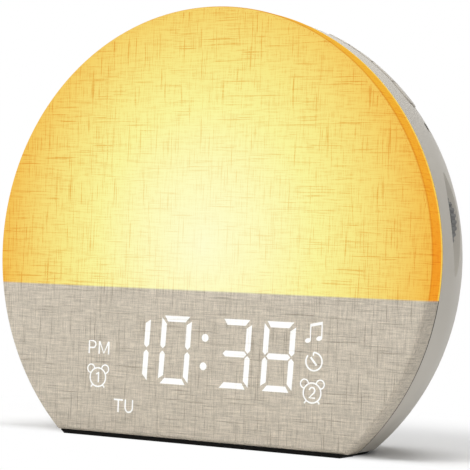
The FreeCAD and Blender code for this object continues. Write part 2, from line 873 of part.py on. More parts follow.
def rear_housing():
    outer = housing_envelope(0, drop=flat_drop)
    corner_edges = [e for e in outer.Edges if abs(e.BoundBox.ZMin + flat_drop) < 0.001
                    and abs(e.BoundBox.ZMax + flat_drop) < 0.001 and e.BoundBox.YMax > housing_front + 1]
    outer = outer.makeFillet(housing_corner, corner_edges)
    inner = housing_envelope(housing_wall, y0=housing_front - 1, drop=flat_drop - housing_wall)
    lip_outer_radius = flange_radius
    lip_inner_radius = lip_outer_radius - lip_width
    lip_front = flange_rear + cloth_gap
    lip_rear = housing_front + lip_reach
    lip = flat_disc(lip_outer_radius, lip_front, lip_rear, flange_drop)
    lip = join([lip, outer.common(box(-far, far, housing_front, lip_rear, -far, far))])
    lip = lip.cut(flat_disc(lip_inner_radius, lip_front - 1, lip_rear + 1, flange_drop - lip_width))
    shell = outer.cut(inner)
    adds = [lip]
    pan = scoop_cutter(housing_wall).common(outer)
    adds.append(pan.common(box(0, far, 0, far, -far, far)))
    for angle in case_post_angles:
        x, z = polar(case_post_radius, angle)
        adds.append(rod(case_post_size, case_post_front, body_depth + 1, x, z).common(outer))
    for x, z in board_posts:
        adds.append(rod(board_post_size, board_depth + board_thickness, body_depth + 1, x, z).common(outer))
    for angle in speaker_screw_angles:
        x, z = polar(speaker_screw_circle, angle)
        adds.append(rod(speaker_boss_radius, speaker_seat, back_inner + 1, x, speaker_rise + z))
    adds += [post.common(outer) for post in key_posts()]
    adds.append(rod(cup_radius, cup_floor_depth - cup_wall, body_depth, door_x, door_z))
    wide, tall, long = jack_body
    for side in (-1, 1):
        edge = side * (wide / 2 + slip_gap)
        outside = edge + side * jack_cradle
        adds.append(box(min(edge, outside), max(edge, outside), back_inner - long + 2, back_inner + 1,
                        -jack_drop - tall / 2, -jack_drop + tall / 2))
    body = join([shell] + adds)
    cuts = [scoop_cutter(0), wheel_slot(), key_slot]
    lens_hole = rim_rod(sensor_lens_radius + running_gap, sensor_inner - 2, sensor_surface + key_reach_out,
                        key_depth)
    cuts.append(turn(lens_hole, sensor_angle))
    for angle in case_post_angles:
        x, z = polar(case_post_radius, angle)
        cuts.append(rod(case_screw_radius + screw_gap, case_post_front - 1, body_depth + 1, x, z))
        cuts.append(rod(case_screw_head_radius + screw_gap, screw_seat, body_depth + 1, x, z))
    for x, z in board_posts:
        top = board_depth + board_thickness
        cuts.append(rod(board_screw_radius + running_gap, top - 1, top + board_screw_length, x, z))
    for angle in speaker_screw_angles:
        x, z = polar(speaker_screw_circle, angle)
        cuts.append(rod(board_screw_radius + running_gap, speaker_seat - 1, back_inner + 1,
                        x, speaker_rise + z))
    cuts.append(rod(jack_nose_radius + jack_hole_gap, back_inner - 1, body_depth + 1, 0, -jack_drop))
    cuts += door_pocket()
    cuts += grille_holes()
    return body.cut(cuts)


speaker_flange_rear = back_inner - speaker_gasket_thickness
speaker_seat = speaker_flange_rear - speaker_flange_thickness
write("rear_housing", rear_housing())


def case_screws():
    screws = []
    for angle in case_post_angles:
        x, z = polar(case_post_radius, angle)
        head = rod(case_screw_head_radius, screw_seat, screw_seat + case_screw_head, x, z)
        long, thin, deep = case_screw_cross
        top = screw_seat + case_screw_head
        slot_a = box(x - long, x + long, top - deep, top + 1, z - thin, z + thin)
        slot_b = box(x - thin, x + thin, top - deep, top + 1, z - long, z + long)
        shank = rod(case_screw_radius, screw_seat - case_screw_length, screw_seat + eps, x, z)
        screws.append(join([head, shank]).cut([slot_a, slot_b]))
    return group(screws)


write("case_screws", case_screws())

# Base pad under the flat


def base_pad():
    body = join([rod(face_radius - pad_inset, pad_inset, housing_front + pad_inset),
                 housing_envelope(pad_inset)])
    return body.common(box(-far, far, 0, far, -flat_drop - pad_thickness, -flat_drop))


write("base_pad", base_pad())

# Main board, screwed to its posts from the front


def main_board():
    board = box(board_left, far, board_depth, board_depth + board_thickness, board_low, board_high)
    board = board.common(rod(board_rim_radius, board_depth, board_depth + board_thickness))
    for x, z in board_posts:
        board = board.cut(rod(board_screw_radius + screw_gap, board_depth - 1,
                              board_depth + board_thickness + 1, x, z))
    return board


def board_screws():
    screws = []
    for x, z in board_posts:
        head = rod(board_screw_head_radius, board_depth - board_screw_head, board_depth, x, z)
        shank = rod(board_screw_radius, board_depth - eps, board_depth + board_screw_length, x, z)
        screws.append(join([head, shank]))
    return group(screws)


def capacitors():
    cans = []
    for x, z, radius, tall in capacitor_spots:
        cans.append(rod(radius, board_depth - tall, board_depth, x, z))
    return group(cans)


def processor():
    x, z = chip_spot
    wide, tall, thick = chip_size
    return box(x - wide / 2, x + wide / 2, board_depth - thick, board_depth, z - tall / 2, z + tall / 2)


write("main_board", main_board())
write("board_screws", board_screws())
write("capacitors", capacitors())
write("processor_chip", processor())

# Thumbwheel on the shaft of its potentiometer


def thumbwheel():
    x = wheel_hub_x
    blank = rod(wheel_radius, wheel_front, wheel_rear, x)
    blank = blank.makeChamfer(wheel_edge, [e for e in blank.Edges if e.BoundBox.XLength > wheel_radius])
    teeth = []
    for step in range(wheel_teeth):
        dx, dz = polar(wheel_radius, 360 * step / wheel_teeth)
        teeth.append(rod(tooth_depth, wheel_front - 1, wheel_rear + 1, x + dx, dz))
    side = (wheel_thickness - wheel_web) / 2
    well = rod(wheel_radius - wheel_rim, 0, side, x).cut(rod(wheel_hub_radius, -1, side + 1, x))
    front_well = well.translated(Vector(0, wheel_front, 0))
    rear_well = well.translated(Vector(0, wheel_rear - side, 0))
    bore = d_shaft(x, wheel_front - 1, wheel_rear + 1, running_gap)
    return turn(blank.cut(teeth + [front_well, rear_well, bore]), wheel_angle)


def d_shaft(x, y0, y1, grow):
    shaft = rod(shaft_radius + grow, y0, y1, x)
    return shaft.cut(box(x + shaft_flat + grow, far, y0 - 1, y1 + 1, -far, far))


dial_rear = board_depth
dial_front = dial_rear - dial_height
neck_front = dial_front - dial_neck


def potentiometer():
    half = dial_body / 2
    body = box(wheel_hub_x - half, wheel_hub_x + half, dial_front, dial_rear, -half, half)
    upright = [e for e in body.Edges if e.BoundBox.YLength > eps]
    body = body.makeFillet(dial_corner, upright)
    neck = rod(dial_neck_radius, neck_front, dial_front, wheel_hub_x)
    bore = rod(shaft_radius + running_gap, neck_front - 1, dial_front + shaft_well, wheel_hub_x)
    return turn(join([body, neck]).cut(bore), wheel_angle)


def potentiometer_shaft():
    flat_part = d_shaft(wheel_hub_x, wheel_front + shaft_tip_sink, wheel_rear, 0.0)
    round_part = rod(shaft_radius, wheel_rear, dial_front + shaft_well - shaft_end_gap, wheel_hub_x)
    return turn(join([flat_part, round_part]), wheel_angle)


write("thumbwheel", thumbwheel())
write("potentiometer", potentiometer())
write("potentiometer_shaft", potentiometer_shaft())

# Loudspeaker: basket, magnet, cone and gasket


def at_speaker(shape):
    return shape.translated(Vector(0, 0, speaker_rise))


cup_end = board_depth + board_thickness + speaker_board_gap + magnet_height


def speaker_basket():
    rim = speaker_radius - speaker_flange_width
    outer = ring([(0, cup_end), (magnet_radius, cup_end), (rim, speaker_seat),
                  (speaker_radius, speaker_seat), (speaker_radius, speaker_flange_rear),
                  (0, speaker_flange_rear)])
    inner = ring([(0, cup_end + basket_wall), (magnet_radius - basket_wall, cup_end + basket_wall),
                  (rim - basket_wall, speaker_seat), (rim - basket_wall, speaker_flange_rear + 1),
                  (0, speaker_flange_rear + 1)])
    openings = []
    wide, low, high = basket_window
    for step in range(basket_windows):
        window = box(magnet_radius - basket_wall, rim + 2, cup_end + low, cup_end + low + high,
                     -wide / 2, wide / 2)
        openings.append(turn(window, 360 * (step + 0.5) / basket_windows))
    return at_speaker(outer.cut(inner).cut(openings))


def speaker_magnet():
    step, thick = magnet_plate
    bottom = cup_end - magnet_height
    plate = rod(magnet_radius - step, bottom, bottom + thick)
    body = rod(magnet_radius, bottom + thick, cup_end)
    return at_speaker(join([plate, body]))


def speaker_cone():
    rim = speaker_radius - speaker_flange_width - basket_wall - cone_gap
    neck = dust_cap_radius
    deep = cup_end + basket_wall + cone_gap
    mouth = speaker_flange_rear - cone_mouth_gap
    outer = ring([(0, deep), (neck, deep), (rim, mouth - cone_lip), (rim, mouth), (0, mouth)])
    inner = ring([(0, deep + cone_wall), (neck, deep + cone_wall), (rim - cone_wall, mouth - cone_lip / 2),
                  (rim - cone_wall, mouth + 1), (0, mouth + 1)])
    cap_radius = dust_cap_radius * 1.3
    cap = Part.makeSphere(cap_radius, Vector(0, deep, 0))
    cap = cap.common(rod(dust_cap_radius, deep + cone_wall / 2, mouth))
    return at_speaker(join([outer.cut(inner), cap]))


def speaker_gasket():
    band = rod(speaker_radius, speaker_flange_rear, back_inner).cut(
        rod(speaker_radius - speaker_flange_width, speaker_flange_rear - 1, back_inner + 1))
    return at_speaker(band)


def speaker_screws():
    screws = []
    for angle in speaker_screw_angles:
        x, z = polar(speaker_screw_circle, angle)
        head = rod(speaker_screw_head_radius, speaker_seat - board_screw_head, speaker_seat, x, z)
        shank = rod(board_screw_radius, speaker_seat - eps, back_inner - screw_gap, x, z)
        screws.append(join([head, shank]))
    return at_speaker(group(screws))


write("speaker_basket", speaker_basket())
write("speaker_magnet", speaker_magnet())
write("speaker_cone", speaker_cone())
write("speaker_gasket", speaker_gasket())
write("speaker_screws", speaker_screws())

# Backup cell, its contacts and the twist-off door

cell_front = cup_floor_depth + contact_thickness


def coin_cell():
    inset, thick = cell_cap
    rear = cell_front + cell_height
    can = rod(cell_radius, cell_front, rear - thick)
    cap = rod(cell_radius - inset, rear - thick, rear)
    return at_door(join([can, cap]))


def cell_contact_low():
    plate = rod(contact_radius, cup_floor_depth, cell_front)
    tail = box(0, cell_radius - 2.0, cup_floor_depth, cell_front, -contact_width / 2, contact_width / 2)
    return at_door(join([plate, tail]))


def cell_contact_side():
    inner_r = cell_radius + cell_gap - cell_headroom
    band = rod(inner_r + contact_thickness, cell_front, cell_front + cell_height).cut(
        rod(inner_r, cell_front - 1, cell_front + cell_height + 1))
    wedge = box(2.0, far, 0, far, -side_contact_width / 2, side_contact_width / 2)
    return at_door(band.common(wedge))


def battery_door():
    disc = rod(door_radius, seat_depth + door_gap, body_depth)
    outer_rim = [e for e in disc.Edges if e.Closed and e.BoundBox.YMin > body_depth - eps]
    disc = disc.makeChamfer(door_edge, outer_rim)
    low = groove_front + door_gap
    neck = rod(door_neck_radius, low, seat_depth + 2 * door_gap)
    lugs = lug_pair(door_neck_radius + lug_reach, lug_half_width, low, low + lug_height)
    well = rod(door_neck_radius - door_neck_wall, low - 1, seat_depth)
    long, wide, deep = coin_slot
    slot = box(-long / 2, long / 2, body_depth - deep, body_depth + 1, -wide / 2, wide / 2)
    return at_door(join([disc, neck, lugs]).cut([slot, well]))


write("coin_cell", coin_cell())
write("cell_contact_low", cell_contact_low())
write("cell_contact_side", cell_contact_side())
write("battery_door", battery_door())

# Power inlet


def dc_jack():
    wide, tall, long = jack_body
    body = box(-wide / 2, wide / 2, back_inner - long, back_inner - cloth_gap, -tall / 2, tall / 2)
    nose = rod(jack_nose_radius, back_inner - 1, body_depth - jack_sink)
    bore = rod(jack_bore_radius, body_depth - jack_bore_depth, body_depth + 1)
    seat = rod(jack_pin_radius, body_depth - jack_bore_depth - jack_pin_root, body_depth)
    return join([body, nose]).cut([bore, seat]).translated(Vector(0, 0, -jack_drop))


def dc_jack_pin():
    pin = rod(jack_pin_radius, body_depth - jack_bore_depth - jack_pin_root, body_depth - jack_pin_sink)
    return pin.translated(Vector(0, 0, -jack_drop))


write("dc_jack", dc_jack())
write("dc_jack_pin", dc_jack_pin())

# Leads inside the case: straight runs joined by tangent arcs, each end square to its plug

def lead(points, radius):
    """A round lead through the points; its bends are as large as the runs allow."""
    corners = [Vector(*p) for p in points]
    edges = []
    start = corners[0]
    for before, corner, after in zip(corners, corners[1:], corners[2:]):
        into = (corner - before).normalize()
        out = (after - corner).normalize()
        turned = into.getAngle(out)
        tangent = lead_bend_share * min(before.distanceToPoint(corner), corner.distanceToPoint(after))
        bend = tangent / math.tan(turned / 2)
        arc_start = corner - into * tangent
        arc_end = corner + out * tangent
        middle = corner + (out - into).normalize() * (bend / math.cos(turned / 2) - bend)
        edges.append(Part.LineSegment(start, arc_start).toShape())
        edges.append(Part.Arc(arc_start, middle, arc_end).toShape())
        start = arc_end
    edges.append(Part.LineSegment(start, corners[-1]).toShape())
    path = Part.Wire(edges)
    tip = Part.Wire(Part.makeCircle(radius, corners[0], corners[1] - corners[0]))
    return path.makePipeShell([tip], True, False)


def plug(x, z, side):
    """A white plug on the main board, on its front (-1) or rear (+1) face."""
    wide, tall, high = plug_size
    if side < 0:
        return box(x - wide / 2, x + wide / 2, board_depth - high, board_depth, z - tall / 2, z + tall / 2)
    rear = board_depth + board_thickness
    return box(x - wide / 2, x + wide / 2, rear, rear + high, z - tall / 2, z + tall / 2)


front_plug_y = board_depth - plug_size[2]
rear_plug_y = board_depth + board_thickness + plug_size[2]
led_plug = (-24.0, 14.0)
ribbon_plug = (0.0, -20.0)
key_plug = (30.0, 18.0)
speaker_plug = (-30.0, 14.0)
power_plug = (10.0, -20.0)
cell_plug = (door_x + sum(cell_lead_spots) / 2, door_z)


def plugs():
    wide, tall, high = plug_size
    cx, cz = cell_plug
    cell_socket = box(cx - wide, cx + wide, board_depth + board_thickness, rear_plug_y,
                      cz - tall / 2, cz + tall / 2)
    ribbon_socket = box(ribbon_plug[0] - ribbon[0] / 2 - 1, ribbon_plug[0] + ribbon[0] / 2 + 1, front_plug_y,
                        board_depth, ribbon_plug[1] - tall / 2, ribbon_plug[1] + tall / 2)
    return group([plug(*led_plug, -1), plug(*key_plug, -1), plug(*speaker_plug, 1), plug(*power_plug, 1),
                  cell_socket, ribbon_socket])


def led_lead():
    x, z = led_lead_spot
    px, pz = led_plug
    return lead([(x, led_board_front, z), (x, tray_floor_rear + lead_rise, z),
                 (px, front_plug_y - lead_rise, pz), (px, front_plug_y, pz)], lead_radius)


def speaker_lead():
    px, pz = speaker_plug
    start = (-speaker_radius + speaker_flange_width + 0.4, speaker_seat - 2.0, speaker_rise)
    return lead([start, (start[0] - lead_rise, start[1] - jack_lead_dip, start[2]),
                 (px, rear_plug_y + lead_plug_run, pz), (px, rear_plug_y, pz)], lead_radius)


def power_lead():
    px, pz = power_plug
    start_y = back_inner - jack_body[2]
    return lead([(0, start_y, -jack_drop), (0, start_y - jack_lead_dip, -jack_drop),
                 (px, rear_plug_y + lead_plug_run, pz), (px, rear_plug_y, pz)], lead_radius)


def key_lead():
    px, pz = key_plug
    nx, nz = polar(key_board_distance, key_angle)
    inward = polar(key_board_distance - key_lead_dip, key_angle)
    y = key_depth
    return lead([(nx, y, nz), (inward[0], y, inward[1]), (px, front_plug_y - key_lead_rise, pz),
                 (px, front_plug_y, pz)], lead_radius)


def display_ribbon():
    """A flat cable: from the display board back through the tray's slot and up to the main board."""
    half, thick = ribbon[0] / 2, ribbon[1]
    rx, rz = ribbon_spot
    px, pz = ribbon_plug
    bend_y = (tray_floor_rear + front_plug_y) / 2
    out = box(rx - half, rx + half, display_board_rear, bend_y, rz - thick / 2, rz + thick / 2)
    rise = box(rx - half, rx + half, bend_y - thick, bend_y, rz - thick / 2, pz + thick / 2)
    end = box(px - half, px + half, bend_y - thick, front_plug_y, pz - thick / 2, pz + thick / 2)
    return join([out, rise, end])


def cell_leads():
    """Two short wires from the cell's contacts to the socket under the cup."""
    end = cell_front - contact_thickness / 2
    return at_door(group([rod(cell_lead_radius, rear_plug_y, cup_floor_depth, cell_lead_spots[0]),
                          rod(cell_lead_radius, rear_plug_y, end, cell_lead_spots[1])]))


write("wire_plugs", plugs())
write("cell_leads", cell_leads())
write("led_lead", led_lead())
write("speaker_lead", speaker_lead())
write("power_lead", power_lead())
write("key_lead", key_lead())
write("display_ribbon", display_ribbon())
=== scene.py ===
import json
import math

import bmesh
import bpy
from mathutils import Matrix, Vector


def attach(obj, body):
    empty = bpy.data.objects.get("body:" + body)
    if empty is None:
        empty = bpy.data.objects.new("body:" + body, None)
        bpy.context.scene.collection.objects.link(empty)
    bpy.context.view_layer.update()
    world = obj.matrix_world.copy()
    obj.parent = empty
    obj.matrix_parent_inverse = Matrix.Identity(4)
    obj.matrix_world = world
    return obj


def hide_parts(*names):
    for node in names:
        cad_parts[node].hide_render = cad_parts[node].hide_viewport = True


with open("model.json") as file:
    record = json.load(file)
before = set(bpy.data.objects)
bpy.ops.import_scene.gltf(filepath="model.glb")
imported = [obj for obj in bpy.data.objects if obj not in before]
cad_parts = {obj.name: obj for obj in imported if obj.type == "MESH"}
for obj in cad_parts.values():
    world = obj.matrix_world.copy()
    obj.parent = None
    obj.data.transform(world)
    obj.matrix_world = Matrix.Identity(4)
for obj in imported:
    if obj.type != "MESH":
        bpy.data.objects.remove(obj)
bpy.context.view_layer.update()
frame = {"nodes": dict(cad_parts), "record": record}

nodes = frame["nodes"]

# Sizes of the clock, in metres, in the frame of the model

MM = 0.001
face_radius = 0.090
face_front = -0.0293
foot_drop = 0.0665
pad_thickness = 0.0014
centre_height = foot_drop + pad_thickness
split_drop = 0.0123
split_height = centre_height - split_drop
linen_depth = 0.0091
edge_round = 0.0018
corner_round = 0.0012
least_corner = 0.0002
hem_turn = 0.0007
side_rows = (0.0036, 0.0055, 0.0074, linen_depth)
mark_lift = 0.00004
# depth behind the face down to which painted shade darkens the housing in the seam gap
painted_seam_shade_depth = 0.0101


# Small mesh helpers

def add_piece(name, mesh, material, body="casing", smooth=True):
    piece = bpy.data.objects.new(name, mesh)
    bpy.context.scene.collection.objects.link(piece)
    mesh.materials.append(material)
    for face in mesh.polygons:
        face.use_smooth = smooth
    if body:
        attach(piece, body)
    return piece


def mesh_from(name, vertices, faces):
    mesh = bpy.data.meshes.new(name)
    mesh.from_pydata([tuple(v) for v in vertices], [], faces)
    mesh.validate()
    mesh.update()
    return mesh


# Shader maths written as expressions

class Value:
    """A number socket that adds Math nodes when it is used in an expression."""

    def __init__(self, tree, socket):
        self.tree = tree
        self.socket = socket

    def _math(self, operation, other=None, swap=False, clamp=False):
        node = self.tree.nodes.new("ShaderNodeMath")
        node.operation = operation
        node.use_clamp = clamp
        pair = [other, self] if swap else [self, other]
        for slot, item in zip(node.inputs, pair):
            if isinstance(item, Value):
                self.tree.links.new(item.socket, slot)
            elif item is not None:
                slot.default_value = float(item)
        return Value(self.tree, node.outputs[0])

    def __add__(self, other):
        return self._math("ADD", other)

    def __radd__(self, other):
        return self._math("ADD", other)

    def __sub__(self, other):
        return self._math("SUBTRACT", other)

    def __rsub__(self, other):
        return self._math("SUBTRACT", other, swap=True)

    def __mul__(self, other):
        return self._math("MULTIPLY", other)

    def __rmul__(self, other):
        return self._math("MULTIPLY", other)

    def __truediv__(self, other):
        return self._math("DIVIDE", other)

    def __pow__(self, other):
        return self._math("POWER", other)

    def __neg__(self):
        return self._math("MULTIPLY", -1.0)

    def clamp(self):
        return self._math("ADD", 0.0, clamp=True)

    def least(self, other):
        return self._math("MINIMUM", other)

    def most(self, other):
        return self._math("MAXIMUM", other)

    def root(self):
        return self._math("SQRT")

    def size(self):
        return self._math("ABSOLUTE")

    def ramp(self, low, high):
        """0 below low, 1 above high, eased between them."""
        span = ((self - low) / (high - low)).clamp()
        return span * span * (3.0 - 2.0 * span)


class Wiring:
    """The nodes of a material or of the surround."""

    def __init__(self, tree):
        self.tree = tree

    def node(self, kind, settings=None, sockets=None):
        node = self.tree.nodes.new(kind)
        for key, value in (settings or {}).items():
            if key == "stops":
                self.set_stops(node, value)
            else:
                setattr(node, key, value)
        for key, value in (sockets or {}).items():
            self.put(value, node.inputs[key])
        return node

    def put(self, value, slot):
        """Links a value or a socket to a slot, or writes a constant there."""
        if isinstance(value, Value):
            self.tree.links.new(value.socket, slot)
        elif isinstance(value, bpy.types.NodeSocket):
            self.tree.links.new(value, slot)
        else:
            slot.default_value = value

    def set_stops(self, node, stops):
        elements = node.color_ramp.elements
        while len(elements) > 1:
            elements.remove(elements[0])
        elements[0].position, elements[0].color = stops[0][0], (*stops[0][1], 1)
        for position, colour in stops[1:]:
            elements.new(position).color = (*colour, 1)

    def looked_at(self):
        """1 where the camera looks, also by way of metal or glass, and 0 for the light on the clock."""
        path = self.node("ShaderNodeLightPath").outputs
        kinds = ("Is Camera Ray", "Is Glossy Ray", "Is Transmission Ray")
        direct, mirrored, through = (Value(self.tree, path[kind]) for kind in kinds)
        return direct.most(mirrored).most(through)


class Finish(Wiring):
    """One material under construction."""

    def __init__(self, name, **constants):
        self.material = bpy.data.materials.new(name)
        self.material.use_nodes = True
        super().__init__(self.material.node_tree)
        self.shader = self.tree.nodes["Principled BSDF"]
        self.output = self.tree.nodes["Material Output"]
        for socket, value in constants.items():
            self.shader.inputs[socket.replace("_", " ")].default_value = value
        self.place = self.node("ShaderNodeTexCoord").outputs["Object"]
        split = self.node("ShaderNodeSeparateXYZ", {}, {"Vector": self.place})
        self.x, self.y, self.z = (Value(self.tree, s) for s in split.outputs)

    def noise(self, scale, detail=2.0, rough=0.5, stretch=(1, 1, 1), shift=(0, 0, 0)):
        place = self.node("ShaderNodeMapping", {},
                          {"Vector": self.place, "Scale": stretch, "Location": shift})
        node = self.node("ShaderNodeTexNoise", {"noise_dimensions": "3D"},
                         {"Vector": place.outputs[0], "Scale": scale, "Detail": detail, "Roughness": rough})
        return Value(self.tree, node.outputs[0])

    def mix(self, amount, low, high):
        """From one colour to another, each a socket or three numbers."""
        node = self.node("ShaderNodeMix", {"data_type": "RGBA"}, {0: amount})
        for index, colour in ((6, low), (7, high)):
            self.put((*colour, 1) if isinstance(colour, tuple) else colour, node.inputs[index])
        return node.outputs[2]

    def scale_colour(self, colour, amount):
        """A colour times a number, by Vector Math."""
        node = self.node("ShaderNodeVectorMath", {"operation": "SCALE"}, {0: colour, "Scale": amount})
        return node.outputs[0]

    def tint(self, colour, by):
        """A colour times another colour, by Vector Math."""
        node = self.node("ShaderNodeVectorMath", {"operation": "MULTIPLY"}, {0: colour, 1: by})
        return node.outputs[0]

    def colours(self, amount, stops):
        return self.node("ShaderNodeValToRGB", {"stops": stops}, {"Fac": amount}).outputs[0]

    def feed(self, socket, value):
        self.put(value, self.shader.inputs[socket])

    def bump(self, height, distance, strength):
        node = self.node("ShaderNodeBump", {},
                         {"Height": height, "Distance": distance, "Strength": strength})
        self.put(node.outputs[0], self.shader.inputs["Normal"])


# Finishes

def grey(level):
    return (level, level, level)


def shaded(colour, amount):
    """A colour times a number, with no part above 1."""
    return tuple(min(1.0, part * amount) for part in colour)


def linen_threads(f):
    """Threads of uneven thickness, both ways: their tone about zero, and the dark slubs from 0 to 1."""
    flat = f.noise(1.0, detail=1.0, stretch=(190.0, 190.0, 3000.0))
    tall = f.noise(1.0, detail=1.0, stretch=(3000.0, 3000.0, 190.0), shift=(7.3, 0.0, 2.1))
    flat_slub = f.noise(1.0, detail=1.0, stretch=(58.0, 58.0, 2500.0), shift=(3.1, 0.0, 9.4))
    tall_slub = f.noise(1.0, detail=1.0, stretch=(2500.0, 2500.0, 58.0), shift=(11.9, 0.0, 4.2))
    slubs = flat_slub.ramp(0.64, 0.71).most(tall_slub.ramp(0.62, 0.70))
    return flat + tall - 1.0, slubs


def unlit_linen(f, threads, slubs, fine, patches):
    cloth = f.mix(slubs * 0.60, (0.600, 0.540, 0.452), (0.330, 0.285, 0.225))
    return f.scale_colour(cloth, 1.0 + threads * 0.62 + fine * 0.62 + patches * 0.08)


def glowing_linen(f, threads, slubs, fine, patches):
    """Brightest low in the middle, yellow outwards and orange on the side band, with darker threads."""
    glow_centre = centre_height + 0.004
    rise = f.z - glow_centre
    spread = (f.x * f.x * 0.95 + rise * rise * 0.78).root() / face_radius
    glow = f.colours(spread, [
        (0.0, (0.995, 0.985, 0.62)),
        (0.25, (0.990, 0.965, 0.50)),
        (0.50, (0.960, 0.915, 0.34)),
        (0.66, (0.940, 0.820, 0.25)),
        (0.82, (0.925, 0.690, 0.165)),
        (0.94, (0.910, 0.565, 0.098)),
        (1.0, (0.900, 0.500, 0.065)),
    ])
    # the side band turns from orange to gold with height
    depth = f.y - face_front
    height = (f.z - centre_height).ramp(0.0, 0.075)
    orange = f.mix(patches * 1.4 + 0.5, (0.900, 0.290, 0.012), (0.905, 0.410, 0.028))
    glow = f.mix(depth.ramp(0.0006, 0.0014), glow, f.mix(height, orange, (0.880, 0.470, 0.030)))
    # a darker line on the fold and a yellow one along the hem
    fold = depth.ramp(0.0007, 0.0011) * (1.0 - depth.ramp(0.0013, 0.0018))
    glow = f.mix(fold * 0.45, glow, (0.640, 0.190, 0.010))
    hem = depth.ramp(linen_depth - 0.0015, linen_depth - 0.0009)
    glow = f.mix(hem * 0.85, glow, (0.965, 0.700, 0.110))
    shadow = (slubs * 0.75 - threads * 1.3 - fine * 0.5 + 0.08).clamp()
    shadow = shadow * (0.22 + spread * 0.95).least(0.9)
    return f.mix(shadow, glow, f.tint(glow, (0.84, 0.55, 0.30)))


def linen_finish():
    """Slubbed linen, opaque below the split, lit from behind above it."""
    f = Finish("linen", Roughness=0.95, Specular_IOR_Level=0.05, Emission_Strength=1.0)
    threads, slubs = linen_threads(f)
    fine = f.noise(3400.0, rough=0.7) - 0.5
    patches = f.noise(38.0) - 0.5
    cloth = unlit_linen(f, threads, slubs, fine, patches)
    glow = glowing_linen(f, threads, slubs, fine, patches)
    lit = (f.z - split_height + 0.0002).ramp(-0.0004, 0.0004)
    # painted shade: the hem is darkened where it tucks into the seam behind the edge
    painted_seam_shadow = 1.0 - (f.y - face_front).ramp(linen_depth - 0.0005, linen_depth - 0.0003) * 0.88
    f.feed("Emission Color", f.scale_colour(glow, lit))
    f.feed("Base Color", f.scale_colour(cloth, (1.0 - lit) * painted_seam_shadow))
    f.bump(threads * 1.2 - slubs * 0.5 + fine * 0.4, 0.00018, 0.5)
    return f.material


def moulded_finish(name, colour, rough, grain=0.000012, blotch=0.05, shine=0.4, painted_shade_depth=0.0):
    """Moulded plastic or rubber with a fine grain and a slight change of tone."""
    f = Finish(name, Roughness=rough, Specular_IOR_Level=shine)
    shade = f.mix(f.noise(28.0, detail=3.0), shaded(colour, 1 - blotch), shaded(colour, 1 + blotch))
    if painted_shade_depth:
        # painted shade: the housing is darkened in the narrow gap behind the linen
        shade = f.scale_colour(shade, 0.12 + 0.88 * (f.y - face_front).ramp(painted_shade_depth, painted_shade_depth + 0.0003))
    f.feed("Base Color", shade)
    f.feed("Roughness", rough - 0.05 + f.noise(160.0) * 0.10)
    f.bump(f.noise(1500.0, detail=1.0), grain, 0.1)
    return f.material


def metal_finish(name, colour, rough):
    """Metal with fine drawn lines."""
    f = Finish(name, Metallic=1.0, Roughness=rough)
    lines = f.noise(1.0, rough=0.6, stretch=(160.0, 4200.0, 4200.0))
    f.feed("Base Color", f.mix(f.noise(120.0), colour, shaded(colour, 0.88)))
    f.feed("Roughness", rough - 0.08 + lines * 0.16)
    f.bump(lines, 0.00002, 0.4)
    return f.material


def glow_finish(name, colour, strength):
    f = Finish(name, Roughness=0.4, Base_Color=(*colour, 1), Emission_Strength=strength)
    f.feed("Emission Color", f.mix(f.noise(500.0), colour, shaded(colour, 0.94)))
    return f.material


def mark_finish():
    """White light read through the linen: the threads show as faint darker lines."""
    f = Finish("lit_marks", Roughness=0.9, Base_Color=(0.02, 0.02, 0.02, 1), Emission_Strength=1.0)
    threads, slubs = linen_threads(f)
    lines = (slubs * 0.5 - threads * 0.8).clamp()
    f.feed("Emission Color", f.mix(lines, (1.0, 1.0, 0.985), (0.80, 0.78, 0.72)))
    return f.material


def board_finish(name, colour):
    """A lacquered board whose tracks show as lighter lines."""
    f = Finish(name, Roughness=0.35, Coat_Weight=0.3)
    tracks = f.noise(1.0, detail=1.0, stretch=(900.0, 900.0, 60.0)).ramp(0.5, 0.55)
    f.feed("Base Color", f.mix(tracks * 0.4, colour, shaded(colour, 1.5)))
    return f.material


